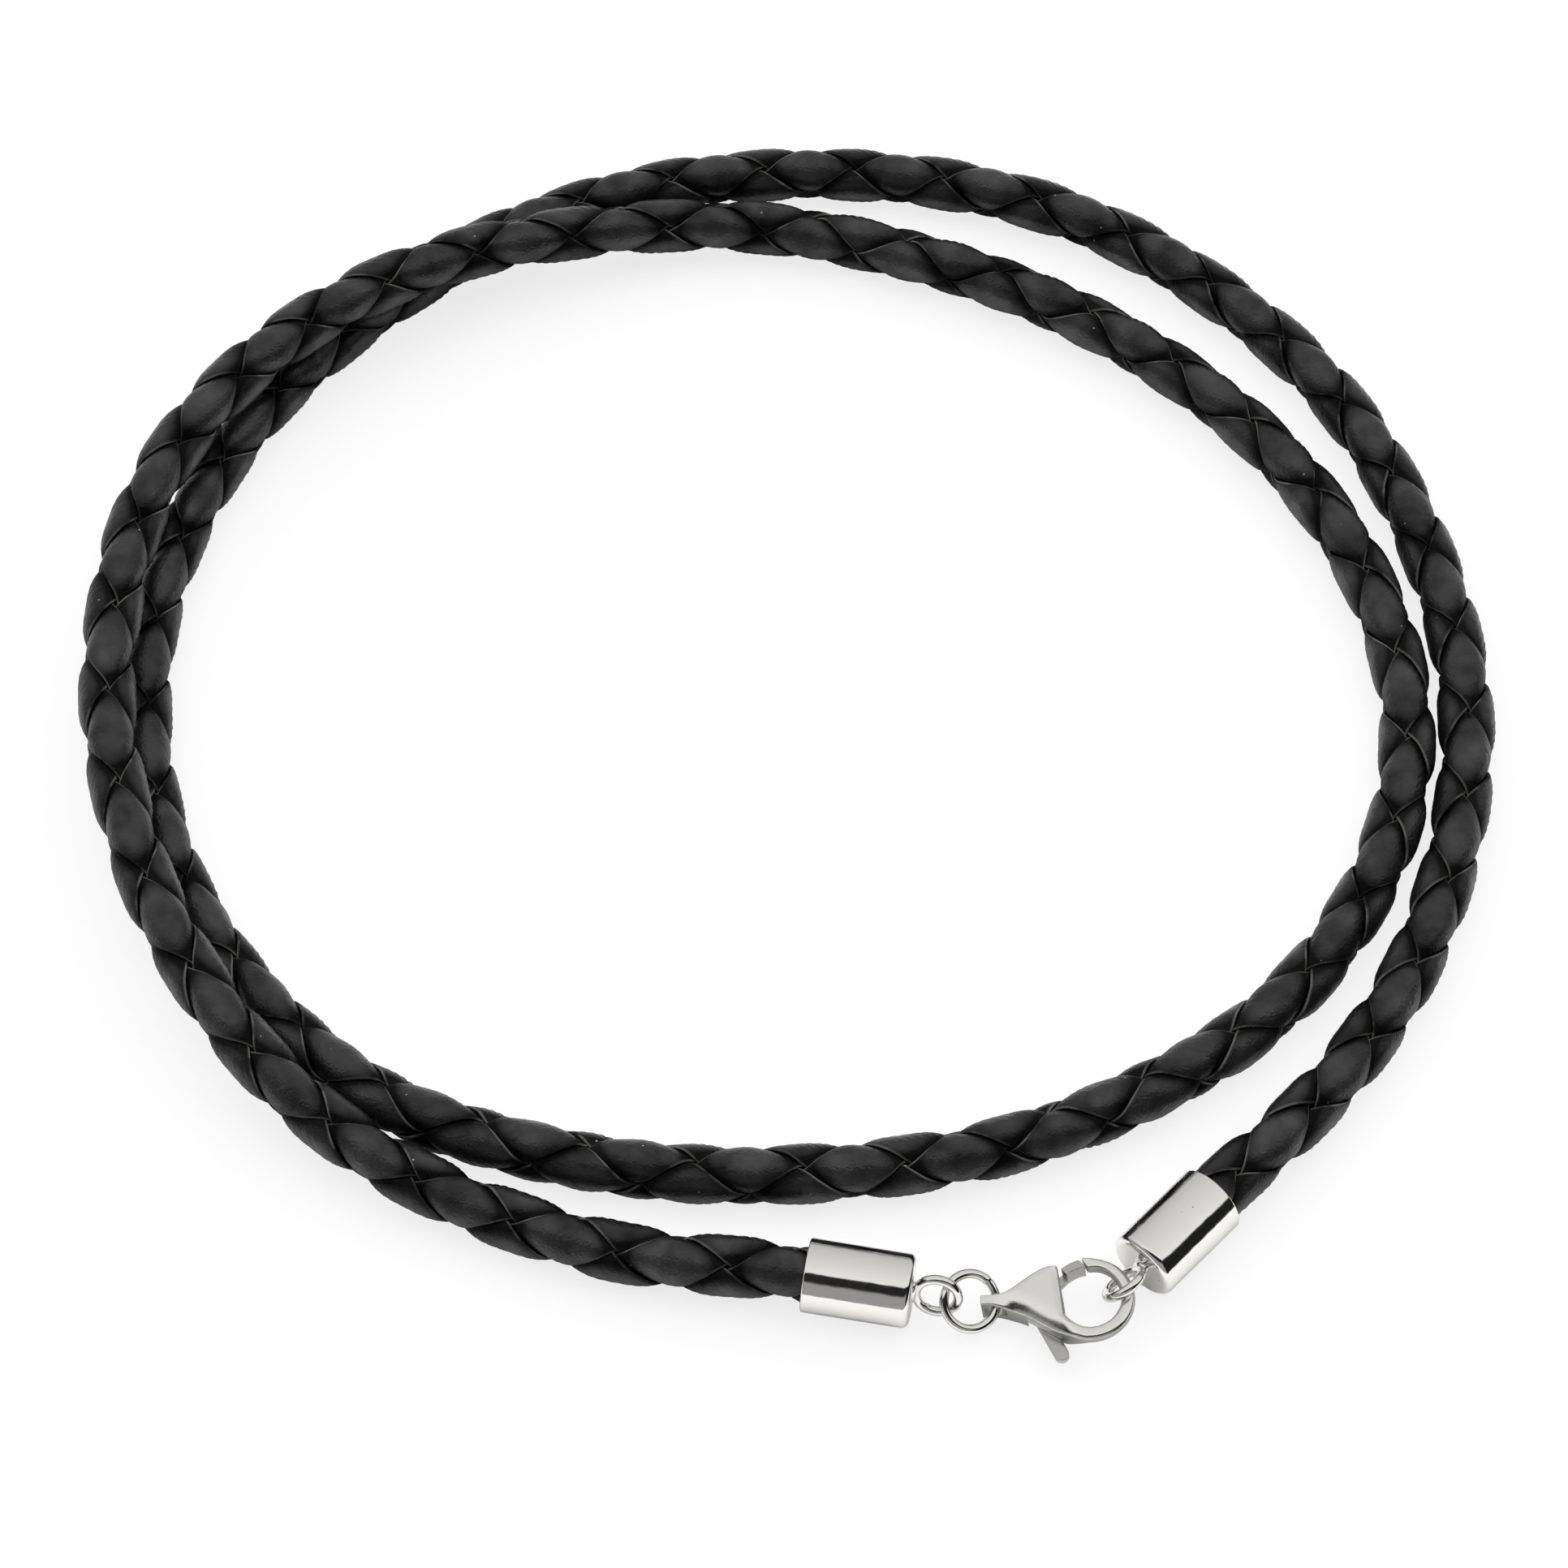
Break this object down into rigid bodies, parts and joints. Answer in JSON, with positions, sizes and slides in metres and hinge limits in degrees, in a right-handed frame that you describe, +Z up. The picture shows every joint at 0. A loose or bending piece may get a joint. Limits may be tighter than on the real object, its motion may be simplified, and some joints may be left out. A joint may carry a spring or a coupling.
{
  "type": "leather cord necklace",
  "caption": "Round braided leather cord in two turns, with silver cup ends, a jump ring and a trigger clasp with a sprung lever.",
  "frame": {"origin": "centre of the necklace's outline on the ground, as it lies", "axes": "+Z up from the ground, -Y towards the clasp, +X to the right with the clasp nearest; the clasp's hook points to +X"},
  "size_m": [0.1042, 0.1066, 0.0086],
  "materials": {
    "leather": "smooth, dyed black, lightly waxed",
    "silver": "polished silver"
  },
  "bodies": {
    "necklace": {"lace_1": "leather", "lace_2": "leather", "lace_3": "leather", "lace_4": "leather", "end_cap_left": "silver", "end_cap_right": "silver", "jump_ring": "silver", "clasp_body": "silver"},
    "lever": {"clasp_lever": "silver"}
  },
  "joints": [
    {"name": "lever_open", "type": "hinge", "parent": "necklace", "child": "lever", "pos_m": [0.0168, -0.0494, 0.00083], "axis": [0.1309, 0, -0.9914], "range_deg": [0, 22], "stiffness_Nm_per_rad": 0.001, "springref_deg": -11.46}
  ]
}
